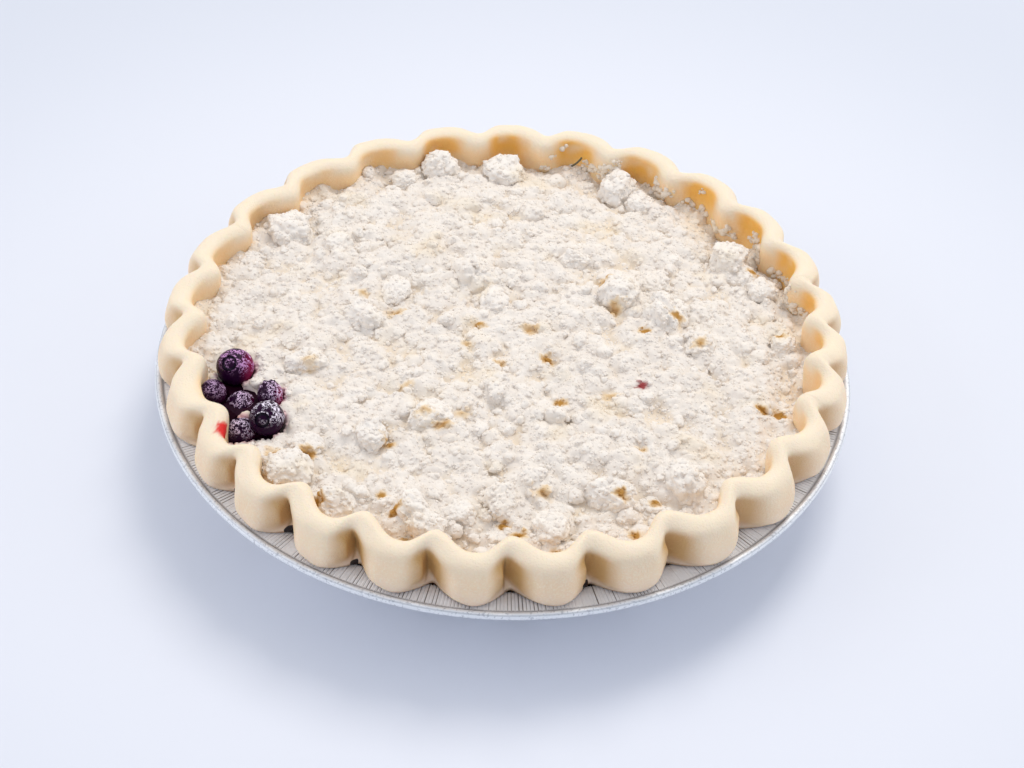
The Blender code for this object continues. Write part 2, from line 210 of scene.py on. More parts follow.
camera = add_alone(bpy.ops.object.camera_add, "Camera")
camera.matrix_world = Matrix.Translation(CAMERA_TARGET - forward * CAMERA_DISTANCE) @ Matrix(
    (right, up, -forward)).transposed().to_4x4()
camera.data.lens = CAMERA_FOCAL_PIXELS / PHOTO_WIDTH * SENSOR_WIDTH
camera.data.sensor_width = SENSOR_WIDTH
bpy.context.scene.camera = camera
print("lens", round(camera.data.lens, 1), "mm")

# %% [markdown]
# The light is bright and soft. One wide lamp, like a window, stands behind and above the pie, so the
# front of the tin casts a short bluish shade on the floor. Two weak lamps at the left and the right are
# like pale boards that throw some of its light back.
# %% The light
PIE_MIDDLE = Vector((0, 0, 0.03))


def add_soft_lamp(name, place, size, power, colour):
    """A square lamp that faces the middle of the pie."""
    lamp = add_alone(bpy.ops.object.light_add, name, type="AREA", location=place)
    lamp.data.size = size
    lamp.data.energy = power
    lamp.data.color = colour
    lamp.rotation_euler = (PIE_MIDDLE - Vector(place)).to_track_quat("-Z", "Y").to_euler()


add_soft_lamp("window", (0.38, 0.75, 1.55), 0.7, 12.6, (1.0, 0.955, 0.885))
add_soft_lamp("left board", (-1.10, -0.25, 0.55), 0.9, 3.7, (0.99, 0.98, 1.0))
add_soft_lamp("right board", (1.15, -0.20, 0.50), 0.9, 2.2, (0.97, 0.98, 1.0))

bpy.context.scene.view_settings.view_transform = "Standard"

# %% The floor
def add_floor(material):
    """A wide board under the pie, which is not part of it."""
    floor = add_alone(bpy.ops.mesh.primitive_plane_add, "floor", size=8.0, location=(0, 0, 0))
    floor.data.materials.append(material)


# %% [markdown]
# ## Shared surface effects
#
# Raw dough and crumble both show a fine grain and soft mottling, at different sizes. A node group holds
# that effect once. It puts out a height for a Bump node and a mask for the colour.
# %% A node group for grain and mottling
def add_node(tree, kind, **values):
    """A node with some of its inputs or settings given by name."""
    node = tree.nodes.new(kind)
    for name, value in values.items():
        socket = node.inputs.get(name.replace("_", " "))
        if socket is None:
            setattr(node, name, value)
        else:
            socket.default_value = value
    return node


def on_object(tree, kind, **values):
    """A node that works on Object coordinates."""
    node = add_node(tree, kind, **values)
    place = tree.nodes.new("ShaderNodeTexCoord")
    tree.links.new(place.outputs["Object"], node.inputs["Vector"])
    return node


def make_grain_group():
    """Grain: a height from fine noise and a slow mottling mask."""
    group = bpy.data.node_groups.new("grain", "ShaderNodeTree")
    for name, value in (("Grain Scale", 900.0), ("Mottle Scale", 60.0)):
        socket = group.interface.new_socket(name=name, in_out="INPUT", socket_type="NodeSocketFloat")
        socket.default_value = value
    for name in ("Height", "Mottle"):
        group.interface.new_socket(name=name, in_out="OUTPUT", socket_type="NodeSocketFloat")
    entry = group.nodes.new("NodeGroupInput")
    leave = group.nodes.new("NodeGroupOutput")
    grain = on_object(group, "ShaderNodeTexNoise", Detail=3.0, Roughness=0.6)
    mottle = on_object(group, "ShaderNodeTexNoise", Detail=2.0, Roughness=0.5)
    for texture, scale, name in ((grain, "Grain Scale", "Height"), (mottle, "Mottle Scale", "Mottle")):
        group.links.new(entry.outputs[scale], texture.inputs["Scale"])
        group.links.new(texture.outputs["Fac"], leave.inputs[name])
    return group


grain_group = make_grain_group()

# %% [markdown]
# Each material below is built from the same few moves: start a Principled shader, mix colours by masks,
# and add a bump. These helpers make the moves, so that a material's cell reads as a list of what the
# real surface shows.
# %% Helpers for materials
def start_material(name, **constants):
    """A material with a Principled shader whose constants are set on its own sockets."""
    material = bpy.data.materials.new(name)
    material.use_nodes = True
    shader = material.node_tree.nodes["Principled BSDF"]
    for socket, value in constants.items():
        shader.inputs[socket.replace("_", " ")].default_value = value
    return material, material.node_tree, shader


def attribute(tree, name):
    """The value stored on the mesh under this name."""
    return add_node(tree, "ShaderNodeAttribute", attribute_name=name).outputs["Fac"]


def ramp(tree, value, low, high):
    """A mask that runs from 0 to 1 while the value runs from low to high."""
    node = add_node(tree, "ShaderNodeMapRange", From_Min=low, From_Max=high)
    node.interpolation_type = "SMOOTHSTEP"
    tree.links.new(value, node.inputs["Value"])
    return node.outputs["Result"]


def scaled(tree, value, factor):
    """A value times a constant or another value."""
    node = add_node(tree, "ShaderNodeMath", operation="MULTIPLY")
    tree.links.new(value, node.inputs[0])
    if isinstance(factor, (int, float)):
        node.inputs[1].default_value = factor
    else:
        tree.links.new(factor, node.inputs[1])
    return node.outputs[0]


def mixed(tree, mask, first, second):
    """The first colour where the mask is 0, the second where it is 1, and a mix between."""
    node = add_node(tree, "ShaderNodeMix", data_type="RGBA")
    tree.links.new(mask, node.inputs[0])
    for socket, colour in ((node.inputs[6], first), (node.inputs[7], second)):
        if isinstance(colour, tuple):
            socket.default_value = (*colour, 1.0)
        else:
            tree.links.new(colour, socket)
    return node.outputs[2]


def tinted(tree, colour, *tints):
    """A colour under some tints. Each has a mask, or the name of a stored value, and a share."""
    for mask, share, tint in tints:
        if isinstance(mask, str):
            mask = attribute(tree, mask)
        colour = mixed(tree, scaled(tree, mask, share), colour, tint)
    return colour


def cover(tree, shader, colour, height, distance, strength):
    """Lead a colour, and a height through a Bump node, to the shader."""
    tree.links.new(colour, shader.inputs["Base Color"])
    bump = add_node(tree, "ShaderNodeBump", Distance=distance, Strength=strength)
    tree.links.new(height, bump.inputs["Height"])
    tree.links.new(bump.outputs["Normal"], shader.inputs["Normal"])


def use_grain(tree, grain_scale, mottle_scale):
    """Place the grain group in a material."""
    node = add_node(tree, "ShaderNodeGroup", node_tree=grain_group, Grain_Scale=grain_scale,
                    Mottle_Scale=mottle_scale)
    return node.outputs["Height"], node.outputs["Mottle"]


# %% [markdown]
# The room round the pie is pale, and darker and bluer in front, where the photographer stands. That is
# why the tin's shade on the floor is blue.
# %% The room
world = bpy.data.worlds.new("studio")
world.use_nodes = True
bpy.context.scene.world = world
tree = world.node_tree
look = tree.nodes.new("ShaderNodeTexCoord")
sides = tree.nodes.new("ShaderNodeSeparateXYZ")
tree.links.new(look.outputs["Generated"], sides.inputs[0])
behind = ramp(tree, sides.outputs["Y"], -0.7, 0.4)
colour = mixed(tree, behind, (0.660, 0.715, 0.825), (0.940, 0.955, 0.980))
room = tree.nodes["Background"]
tree.links.new(colour, room.inputs["Color"])
room.inputs["Strength"].default_value = 0.87

# %% [markdown]
# The floor is a pale, slightly blue board. It is painted a little brighter round the pie than far from
# it, a painted pool of light that lifts the shade beside the tin. Nothing on it draws the eye.
# %% Floor material
floor_material, tree, shader = start_material("pale_board", Roughness=0.65)
mottle = use_grain(tree, 40.0, 1.5)[1]
apart = on_object(tree, "ShaderNodeVectorMath", operation="LENGTH")
# Brighter near the pie than far away: a painted pool of light round the tin.
near = mixed(tree, mottle, (0.720, 0.740, 0.810), (0.730, 0.750, 0.820))
colour = mixed(tree, ramp(tree, apart.outputs["Value"], 0.14, 0.36), near, (0.610, 0.640, 0.715))
tree.links.new(colour, shader.inputs["Base Color"])
add_floor(floor_material)

# %% [markdown]
# ## The foil tin
#
# A foil pan is pressed from flat foil, so its wall and flange gather into some six hundred small
# pleats, and its edge is rolled into a bead. The section is drawn once from the middle of the
# underside, round the bead and back to the middle of the inside. The pleats are real waves in the mesh,
# four points to each, uneven in depth, and they fade out at the base and under the bead.
# %% Measures of the tin
PLEATS = 620
TIN_COLUMNS = PLEATS * 4
BEAD_CENTRE = 0.12122
BEAD_RADIUS = 0.00128
BEAD_HEIGHT = 0.02950
FLANGE_UNDER = 0.02935
FOIL = 0.00040
BASE_RADIUS = 0.0935
WALL_TOP_RADIUS = 0.1110
WALL_FOOT_RISE = 0.0011
WALL_FOOT_WIDTH = 0.0016
FLANGE_END = 0.1199
TIN_REACH = 0.1225
PLEAT_DEPTH_FLANGE = 0.00019
PLEAT_DEPTH_WALL = 0.00040


def tin_section():
    """The tin's section as (radius, height, pleat depth sideways, pleat depth upwards)."""
    section = [(0.0, 0.0006, 0, 0), (0.040, 0.0006, 0, 0), (0.0415, 0.0, 0, 0), (0.0455, 0.0, 0, 0),
               (0.0470, 0.0006, 0, 0), (0.0880, 0.0006, 0, 0), (0.0895, 0.0, 0, 0),
               (BASE_RADIUS, 0.0, 0, 0), (BASE_RADIUS + WALL_FOOT_WIDTH, WALL_FOOT_RISE, 0.3, 0)]
    for share in (0.12, 0.5, 0.9, 1.0):
        radius = BASE_RADIUS + WALL_FOOT_WIDTH
        radius += (WALL_TOP_RADIUS - BASE_RADIUS - WALL_FOOT_WIDTH) * share
        section.append((radius, WALL_FOOT_RISE + (FLANGE_UNDER - 0.0019) * share, 1.0, 0))
    section += [(WALL_TOP_RADIUS + 0.0008, FLANGE_UNDER, 0.2, 0.8), (0.1150, FLANGE_UNDER, 0, 1.0),
                (0.1188, FLANGE_UNDER, 0, 0.9), (FLANGE_END, FLANGE_UNDER, 0, 0.3)]
    for degrees in (215, 250, 290, 330, 5, 30, 50, 65, 80, 95, 110, 125, 150):
        section.append((BEAD_CENTRE + BEAD_RADIUS * math.cos(math.radians(degrees)),
                        BEAD_HEIGHT + BEAD_RADIUS * math.sin(math.radians(degrees)), 0, 0.05))
    top = FLANGE_UNDER + FOIL
    section += [(0.1198, top + 0.0001, 0, 0.3), (0.1190, top, 0, 0.9), (0.1170, top, 0, 1.0),
                (0.1150, top, 0, 1.0), (WALL_TOP_RADIUS + 0.0006, top, 0.2, 0.8),
                (WALL_TOP_RADIUS - FOIL, top - 0.0006, 1.0, 0)]
    section += [(BASE_RADIUS + WALL_FOOT_WIDTH - FOIL, 0.0018, 0.3, 0),
                (BASE_RADIUS - FOIL, 0.0009, 0, 0), (0.0, 0.0009, 0, 0)]
    return np.array(section)


# %% Shape the tin
def make_tin():
    """The pleated tin, with values for the painted shade in its folds and seams, for its bead and for its
    flange.
    """
    section = tin_section()
    tin = plain_tube("foil_tin", TIN_COLUMNS, len(section))
    turn, row = turn_and_row(tin)
    here = section[row.astype(int)]
    around = round_axis(1.0, turn)
    uneven = 0.75 + 0.5 * rough(around, 0.05)
    wander = 1.2 * rough(around, 0.12, 7.0)
    pleat = np.cos(PLEATS * turn + wander) * uneven
    radius = here[:, 0] + pleat * here[:, 2] * PLEAT_DEPTH_WALL
    height = here[:, 1] + pleat * here[:, 3] * PLEAT_DEPTH_FLANGE
    wobble = rough(around, 0.30, 3.0) * 0.00025 * smooth_step(0.110, 0.121, here[:, 0])
    nicks = np.clip(np.abs(rough(around, 0.013, 11.0)) - 0.42, 0, 1) * 0.0012
    nicks *= smooth_step(0.1200, 0.1215, here[:, 0])
    radius = np.minimum(radius - nicks, TIN_REACH)
    height = np.maximum(height + wobble - nicks * 0.4, 0)
    put_points(tin, round_axis(radius, turn, height))
    # How strongly the depth of each fold is darkened, as painted shade.
    fold = 0.5 + 0.5 * rough(around, 0.010, 4.0) + 0.25 * rough(around, 0.05, 9.0)
    # Painted dark lines by the bead: painted shade in the groove at the flange's end, and a painted
    # reflection along the bead.
    seam = np.exp(-((here[:, 0] - FLANGE_END) / 0.00025) ** 2)
    seam += 0.70 * np.exp(-((here[:, 0] - 0.1220) / 0.00016) ** 2)
    on_top = here[:, 1] > FLANGE_UNDER
    put_values(tin, fold=-pleat * fold * (here[:, 2] + here[:, 3] > 0.5),
               bead=smooth_step(FLANGE_END, 0.1205, here[:, 0]), seam=seam * on_top,
               flange=on_top * (here[:, 0] > WALL_TOP_RADIUS) * (here[:, 0] < FLANGE_END))
    close_and_smooth(tin, 75)
    return tin


# %% [markdown]
# Foil is bare aluminium, but its pleats and crinkles scatter what it mirrors until it looks like pale
# satin. So the base is a light grey that is only a little metallic. The depths of the folds are painted
# darker, as painted shade. Of the two seams by the bead, one is painted shade in the groove where the
# flange meets the bead, and the other a painted dark reflection line along the bead. The bead is painted
# a bluish grey, a painted reflection of the pale blue room, and its small nicks are painted darker, as
# painted shade. The flange lies in the dough's shade and mirrors nothing.
# %% Foil material
foil, tree, shader = start_material("foil", Roughness=0.42)
mottle = use_grain(tree, 1500.0, 260.0)[1]
colour = mixed(tree, mottle, (0.90, 0.92, 0.95), (0.98, 0.99, 1.00))
# Dark spots in the bead's nicks are painted shade.
nicks = on_object(tree, "ShaderNodeTexNoise", Scale=1250.0, Detail=2.0)
nick_mask = scaled(tree, ramp(tree, nicks.outputs["Fac"], 0.56, 0.66), attribute(tree, "bead"))
# Painted shade in the folds, the seams and the nicks, and a painted bluish reflection on the bead.
colour = tinted(
    tree, colour, (ramp(tree, attribute(tree, "fold"), 0.18, 0.45), 1.0, (0.150, 0.130, 0.120)),
    ("seam", 1.0, (0.230, 0.240, 0.280)), ("bead", 0.35, (0.660, 0.700, 0.760)),
    (nick_mask, 0.45, (0.270, 0.290, 0.340)))
shine = mixed(tree, attribute(tree, "flange"), (0.22, 0.22, 0.22), (0.0, 0.0, 0.0))
tree.links.new(shine, shader.inputs["Metallic"])
cover(tree, shader, colour, mottle, 0.0007, 0.9)
place_on_pie(make_tin(), foil, "foil", "tin")

# %% [markdown]
# ## The pastry case
#
# A finger pushes the dough in from outside, and two fingers of the other hand hold it from inside. That
# leaves 27 lobes with a dent between each pair. Each lobe's dough hangs over the near side of the next
# dent in a sharp crease, and rises gently out of its far side. The edge is worked out as a blend between
# two sections, one through a lobe and one through a fold. The angles of the flutes wander as they do on
# a hand-made edge. One flute is pushed round by 1.6 degrees, and the ridge of another is broader, where
# it hides half of a berry.
#
# A place on a section counts its points: 0 is the foot outside, where the dough meets the flange, about
# 3 is the outer face, 6 is the ridge, and 10 is the foot inside, where the crumble starts.
# %% Measures of the flutes
FLUTES = 27
FLUTES_START = math.radians(-186.59)
FLUTE_DRIFT = [(1, 1.68, 1.95), (2, 1.09, -1.00), (3, -0.20, 0.74), (4, 0.45, -0.64)]
RIM_PLANE = 0.0295
EDGE_TILT = 0.0014
EDGE_TILT_SIDE = math.radians(-45)
TENTHS = 10000  # tenths of a millimetre in a metre
LOBE_SECTION = np.array([
    (1182, 302), (1196, 316), (1204, 340), (1207, 382), (1198, 428), (1180, 465), (1145, 479),
    (1112, 463), (1114, 428), (1108, 383), (1090, 338)]) / TENTHS
FOLD_SECTION = np.array([
    (1099, 304), (1096, 322), (1097, 350), (1101, 392), (1115, 436), (1125, 475), (1090, 502),
    (1054, 486), (1044, 447), (1047, 400), (1052, 345)]) / TENTHS
COLUMNS_PER_FLUTE = 46
EDGE_ROWS = 50
CREASE_PHASE = 2.30
OVERHANG = math.radians(0.9)
BACK_LIFT = 0.0022
PUSHED_FLUTE = math.radians(207.5 + 186.59 - 360)
PUSH_DEGREES = 1.6
BROAD_FLUTE = 2 * math.tau / FLUTES - 0.02
BROAD_REACH = 0.0022
BROAD_LIFT = 0.0012


def near_flute(turn, flute, breadth):
    """1 at a flute, falling to 0 on both sides of it."""
    apart = (turn - flute + math.pi) % math.tau - math.pi
    return np.exp(-(apart / breadth) ** 2)


def flute_angle(turn):
    """The angle of a turn round the edge, with the wandering of a hand-made edge."""
    drift = sum(c * np.cos(order * turn) + s * np.sin(order * turn) for order, c, s in FLUTE_DRIFT)
    drift = drift + PUSH_DEGREES * near_flute(turn, PUSHED_FLUTE, 0.16)
    return FLUTES_START + turn + np.radians(drift)


def through(section, place):
    """A smooth curve through a section's points, read at places counted in points."""
    index = np.clip(np.floor(place).astype(int), 0, len(section) - 2)
    share = (place - index)[:, None]
    before = section[np.maximum(index - 1, 0)]
    start = section[index]
    end = section[index + 1]
    after = section[np.minimum(index + 2, len(section) - 1)]
    square = (2 * before - 5 * start + 4 * end - after) * share ** 2
    cube = (3 * start - before - 3 * end + after) * share ** 3
    return 0.5 * (2 * start + (end - before) * share + square + cube)


# %% [markdown]
# The share says how far a point lies from the fold towards the lobe. Outside it drops like a cliff at
# the crease and climbs back slowly. On the ridge and inside it is a leaning wave.
# %% From fold to lobe
def lobe_share(phase, place):
    """The share of the lobe in each point, and how strongly the crease shows there."""
    outer = 1 - smooth_step(4.6, 6.4, place)
    foot = 1 - smooth_step(0.6, 2.6, place)
    skew = 0.12 + 0.26 * outer * (1 - foot)
    breadth = 1.30 + 0.70 * outer
    wave = np.cos(phase + skew * (1 - np.cos(phase)))
    soft = 1 - (1 - (1 + wave) / 2) ** breadth
    arc = np.sqrt((1.02 + wave) / 2.02)
    soft += (arc - soft) * foot
    falling = np.clip(phase / CREASE_PHASE, 0, 1)
    rising = np.clip((phase - CREASE_PHASE) / (math.tau - CREASE_PHASE), 0, 1)
    drop = (1 - falling ** 3.4) ** 0.65
    cliff = np.where(phase < CREASE_PHASE, drop, smooth_step(0, 0.75, rising) ** 0.85)
    crease = smooth_step(1.0, 2.6, place) * (1 - smooth_step(3.5, 4.9, place))
    return soft + (cliff - soft) * crease * 0.85, crease


def edge_points(turn, place):
    """Where the pressed edge lies for turns and places on its section, with their phase and share."""
    phase = FLUTES * turn % math.tau
    share, crease = lobe_share(phase, place)
    flute = np.floor(FLUTES * turn / math.tau + 0.5) % FLUTES
    flute_turn = round_axis(1.0, flute, flute * 0.7)
    fold = through(FOLD_SECTION, place)
    lobe = through(LOBE_SECTION, place)
    section = fold + (lobe - fold) * share[:, None]
    own = rough(flute_turn, 1.3)
    lift = np.clip((section[:, 1] - RIM_PLANE - 0.003) / 0.0213, 0, 1)
    radius = section[:, 0] + own * 0.0006 * share
    height = section[:, 1] + EDGE_TILT * np.cos(flute_angle(turn) - EDGE_TILT_SIDE) * lift
    height += rough(flute_turn, 1.7, 5.0) * 0.0005 * lift
    height += BACK_LIFT * np.maximum(0, np.sin(flute_angle(turn))) * share * lift
    broad = near_flute(turn, BROAD_FLUTE, 0.11) * smooth_step(6.0, 7.6, place) * share
    radius -= BROAD_REACH * broad
    height += BROAD_LIFT * broad * (1 - smooth_step(8.0, 9.5, place))
    lean = np.exp(-((phase - CREASE_PHASE + 0.22) / 0.20) ** 2) * smooth_step(0.15, 0.7, share)
    angle = flute_angle(turn) + OVERHANG * lean * crease
    return round_axis(radius, angle, height), phase, share


# %% [markdown]
# The rest of the case, its wall and floor inside the tin, is hidden and plain. Its rings continue from
# both ends of the pressed edge to the axis, so the case stays one closed piece.
# %% Shape the pastry case
CASE_OUTSIDE = np.array([(0, 12), (922, 12), (940, 24), (1094, 296), (1092, 303)]) / TENTHS
CASE_INSIDE = np.array([(1052, 300), (920, 72), (885, 50), (0, 50)]) / TENTHS


def make_case():
    """The pastry case: rings along its section, of which the pressed edge takes fifty."""
    rows = len(CASE_OUTSIDE) + EDGE_ROWS + len(CASE_INSIDE)
    case = plain_tube("pastry_case", FLUTES * COLUMNS_PER_FLUTE, rows)
    turn, row = turn_and_row(case)
    turn -= 0.6 / FLUTES * np.sin(FLUTES * turn - CREASE_PHASE)
    place = (row - len(CASE_OUTSIDE)) / (EDGE_ROWS - 1) * (len(LOBE_SECTION) - 1)
    on_edge = (row >= len(CASE_OUTSIDE)) & (row < len(CASE_OUTSIDE) + EDGE_ROWS)
    place = np.clip(place, 0, len(LOBE_SECTION) - 1)
    points, phase, share = edge_points(turn, place)
    wave = rough(points, 0.011) * 0.00045 + rough(points, 0.004, 9.0) * 0.00012
    outward = points * np.array([1, 1, 0])
    outward /= np.linalg.norm(outward, axis=1)[:, None]
    points += outward * wave[:, None]
    rings = np.vstack([CASE_OUTSIDE, np.zeros((EDGE_ROWS, 2)), CASE_INSIDE])[row.astype(int)]
    plain = round_axis(rings[:, 0], flute_angle(turn), rings[:, 1])
    put_points(case, np.where(on_edge[:, None], points, plain))
    case_values(case, phase, place, share, points)
    close_and_smooth(case, 80)
    return case


# %% [markdown]
# The dough's colour follows its shape, and much of it is painted light. The dents are painted a darker
# tan and the crease a dark line, both painted shade, and the pockets inside the lobes are painted a
# yellow glow at the back and right, where the light passes through the thin dough. Berry juice has run
# into one pocket. The gap between the foil and the foot of each dent is painted near-black, as painted
# shade, and a dark brown band of painted shadow runs along the foot. Each of these is stored on the
# points as a value, for the material to read.
# %% Values for the pastry's colours
STAIN_PLACE = np.array([-0.0918, -0.0612, 0.0450])
GLOW_SIDE = math.radians(56)


def case_values(case, phase, place, share, points):
    """Store where the pastry gets painted shade in its dents, crease, foot and gaps, a painted glow in
    its pockets, a stain, and darker or lighter tones.
    """
    angle = angle_of(points)
    # The dents get painted shade, a little stronger on the front of the pie.
    dent = np.clip(2.1 * (1 - share) - 0.15, 0, 1) * smooth_step(0.8, 2.4, place)
    dent *= 1 - smooth_step(4.2, 5.2, place)
    dent *= 0.74 + 0.26 * smooth_step(0.60, 0.95, -np.sin(angle))
    # A dark line of painted shade along each crease.
    line = np.exp(-((phase - CREASE_PHASE - 0.04) / 0.085) ** 2) * smooth_step(0.5, 1.5, place)
    line *= 1 - smooth_step(3.7, 4.6, place)
    # A painted glow in the pockets, strongest towards the back and right.
    inside = smooth_step(6.5, 7.2, place) * smooth_step(0.10, 0.85, share)
    inside *= 1 - 0.3 * smooth_step(8.2, 9.6, place)
    towards = 0.5 + 0.5 * np.cos(angle - GLOW_SIDE)
    uneven = np.clip(1.0 + 0.9 * rough(points, 0.006, 2.0), 0.4, 1.0)
    behind = smooth_step(0.30, 0.85, 0.5 + 0.5 * np.cos(angle - math.radians(75)))
    wall = smooth_step(6.8, 8.6, place) * (0.14 + 0.14 * behind)
    glow = np.maximum(wall, inside * (0.38 + 0.50 * smooth_step(0.62, 0.92, towards)) * uneven)
    away = np.linalg.norm((points - STAIN_PLACE) / np.array([0.0042, 0.0050, 0.0042]), axis=1)
    away += 0.22 * rough(points, 0.0016, 4.0)
    stain = (1 - smooth_step(0.75, 1.0, away)) * smooth_step(5.5, 5.9, place)
    # A near-black painted shade at the gap by the foot of each dent, stronger at some flutes.
    flute = np.floor(FLUTES * angle / math.tau)
    gap_shade_strength = 0.75 + 0.35 * np.sin(7.3 * flute)
    gap = np.exp(-((phase - CREASE_PHASE - 0.20) / 0.34) ** 4) * (1 - smooth_step(0.7, 1.9, place)) * gap_shade_strength
    # foot holds a painted contact shadow along the dough's foot.
    put_values(case, gap=gap, low=1 - smooth_step(0.8, 3.6, place), dent=dent, crease=line, glow=glow,
               stain=stain, foot=1 - smooth_step(0.1, 0.8, place),
               ridge=smooth_step(3.4, 5.8, place) * (1 - smooth_step(7.2, 8.4, place)))


# %% Pastry material
pastry, tree, shader = start_material(
    "raw_pastry", Roughness=0.50, Subsurface_Weight=0.20, Subsurface_Radius=(1.0, 0.55, 0.25),
    Subsurface_Scale=0.003)
height, mottle = use_grain(tree, 1500.0, 55.0)
colour = mixed(tree, ramp(tree, mottle, 0.35, 0.70), (0.890, 0.668, 0.438), (0.935, 0.725, 0.495))
# Painted shade in the foot band, the dents, the crease and the gaps; a painted glow in the pockets.
colour = tinted(
    tree, colour, (ramp(tree, height, 0.42, 0.72), 0.75, (0.940, 0.800, 0.600)),
    ("low", 0.60, (0.860, 0.655, 0.510)), ("ridge", 1.0, (0.868, 0.742, 0.565)),
    ("foot", 0.80, (0.400, 0.220, 0.110)), ("dent", 0.95, (0.600, 0.345, 0.115)),
    ("glow", 1.0, (0.930, 0.470, 0.045)), ("crease", 0.60, (0.340, 0.170, 0.055)),
    ("stain", 1.0, (0.720, 0.012, 0.008)),
    (ramp(tree, attribute(tree, "gap"), 0.46, 0.54), 1.0, (0.014, 0.006, 0.004)))
cover(tree, shader, colour, height, 0.00034, 0.9)
place_on_pie(make_case(), pastry, "raw_pastry", "crust")

# %% [markdown]
# ## The crumble lid
#
# Crumble is flour, butter and sugar rubbed to crumbs. Seen close, it is a heap of grains under a
# millimetre, crumbs of some millimetres and soft clumps up to the size of a walnut half. The lid is
# built the same way: a core with rounded lumps and hollows, and four sizes of loose pieces on top.
#
# The core starts as a square grid. Its squares are drawn out into a disc, so the points stay evenly
# spaced up to the edge, and the edge follows the pastry's inner face.
# %% Heights of the lid
LID_UNDERSIDE = 0.03085
LID_CENTRE_HEIGHT = 0.0452
LID_EDGE_HEIGHT = 0.0400
LID_LOW_SIDE_DROP = 0.0038
LID_LOW_SIDE = math.radians(42)
LID_REACH = 0.1048
LID_GRID = 310
BERRIES = [
    ((-0.0915, -0.0262, 0.0432), 0.0065, 0.94, (-0.25, -0.55, 0.80)),
    ((-0.0978, -0.0374, 0.0412), 0.0047, 0.95, (-0.60, 0.50, -0.60)),
    ((-0.0882, -0.0384, 0.0362), 0.0055, 0.95, (0.40, 0.60, -0.70)),
    ((-0.0782, -0.0378, 0.0414), 0.0045, 1.22, (-0.15, 0.62, 0.77)),
    ((-0.0779, -0.0508, 0.0432), 0.0060, 0.97, (-0.15, -0.80, 0.58)),
    ((-0.0866, -0.0518, 0.0372), 0.0057, 0.86, (0.25, -0.65, -0.70)),
]
PIT_GAPS = [(-0.0872, -0.0440, 0.0080), (-0.0928, -0.0335, 0.0050)]
PIT_FLOOR = 0.0335
MIDDLE_DOME = 0.62
SPOT_DEPTH = 0.0017
LID_OVERLAP = 0.0004
LID_PLACE = 9.0
turn_table = np.linspace(-0.5, 1.5, 4001) * math.tau
angle_table = flute_angle(turn_table)


def turn_at(angle):
    """The turn whose flute angle is the given one."""
    return np.interp((angle - FLUTES_START) % math.tau + FLUTES_START, angle_table, turn_table)


def lid_edge(angle):
    """How far the lid reaches at an angle: a little into the pastry's inner face."""
    phase = FLUTES * turn_at(angle) % math.tau
    share = lobe_share(phase, np.full_like(phase, LID_PLACE))[0]
    height = lid_edge_height(angle)
    lobe = np.interp(height, LOBE_SECTION[::-1, 1][:4], LOBE_SECTION[::-1, 0][:4])
    fold = np.interp(height, FOLD_SECTION[::-1, 1][:4], FOLD_SECTION[::-1, 0][:4])
    return fold + (lobe - fold) * share + LID_OVERLAP


def lid_edge_height(angle):
    """Height of the lid where it meets the pastry: it lies lower behind at the right."""
    towards = np.maximum(0, np.cos(angle - LID_LOW_SIDE))
    return LID_EDGE_HEIGHT - LID_LOW_SIDE_DROP * towards ** 1.5


def berry_dip(points):
    """1 under the berries, 0 away from them."""
    dip = np.zeros(len(points))
    for centre, radius, *_ in BERRIES:
        apart = apart_from(points, centre[0], centre[1])
        dip = np.maximum(dip, 1 - smooth_step(radius * 0.70, radius + 0.0006, apart))
    for x, y, size in PIT_GAPS:
        dip = np.maximum(dip, 1 - smooth_step(size * 0.8, size, apart_from(points, x, y)))
    return dip


def lid_base(points):
    """The smooth height of the lid, before its lumps."""
    share = np.clip(apart_from(points) / LID_REACH, 0, 1)
    edge = lid_edge_height(angle_of(points))
    return edge + (LID_CENTRE_HEIGHT - edge) * (1 - share ** 2.4) ** 0.8


def lid_relief(points):
    """A broad unevenness, lumps of three sizes and the hollows of the ochre spots."""
    flat = points * np.array([1, 1, 0])
    bend = np.column_stack([rough(flat, 0.007), rough(flat, 0.007, 20.0), np.zeros(len(flat))])
    bent = flat + 0.0022 * bend
    relief = rough(flat, 0.024, 4.0) * 0.0018
    for size, offset, height in ((0.0125, 0.0, 0.0032), (0.0056, 3.0, 0.0018), (0.0024, 8.0, 0.0008)):
        relief += (domes(bent, size, offset) - MIDDLE_DOME) * height
    sunk = np.zeros(len(points))
    for x, y, size, strength in OCHRE_SPOTS:
        sunk = np.maximum(sunk, strength * (1 - smooth_step(0, size * 1.3, apart_from(points, x, y))))
    return relief - SPOT_DEPTH * sunk


def lid_height(points):
    """The lid's surface, with the dip round the berries."""
    height = lid_base(points) + lid_relief(points)
    dip = berry_dip(points)
    return height * (1 - dip) + PIT_FLOOR * dip


# %% Shape the core of the lid
def make_lid():
    """The lid's core, from a square grid drawn out into a disc."""
    lid = add_alone(bpy.ops.mesh.primitive_grid_add, "crumble_lid", x_subdivisions=LID_GRID,
                    y_subdivisions=LID_GRID, size=2.0)
    square = points_of(lid)
    x, y = square[:, 0], square[:, 1]
    across = np.maximum(np.abs(x), np.abs(y))
    wide = np.abs(x) >= np.abs(y)
    slope = np.where(wide, y, x) / np.where(across > 0, np.where(wide, x, y), 1)
    angle = np.where(wide, slope * math.pi / 4 + math.pi * (x < 0),
                     math.pi / 2 - slope * math.pi / 4 + math.pi * (y < 0))
    radius = lid_edge(angle) * across
    points = round_axis(radius, angle)
    points[:, 2] = lid_height(points)
    put_points(lid, points)
    lid_values(lid, points)
    close_lid_below(lid)
    return lid


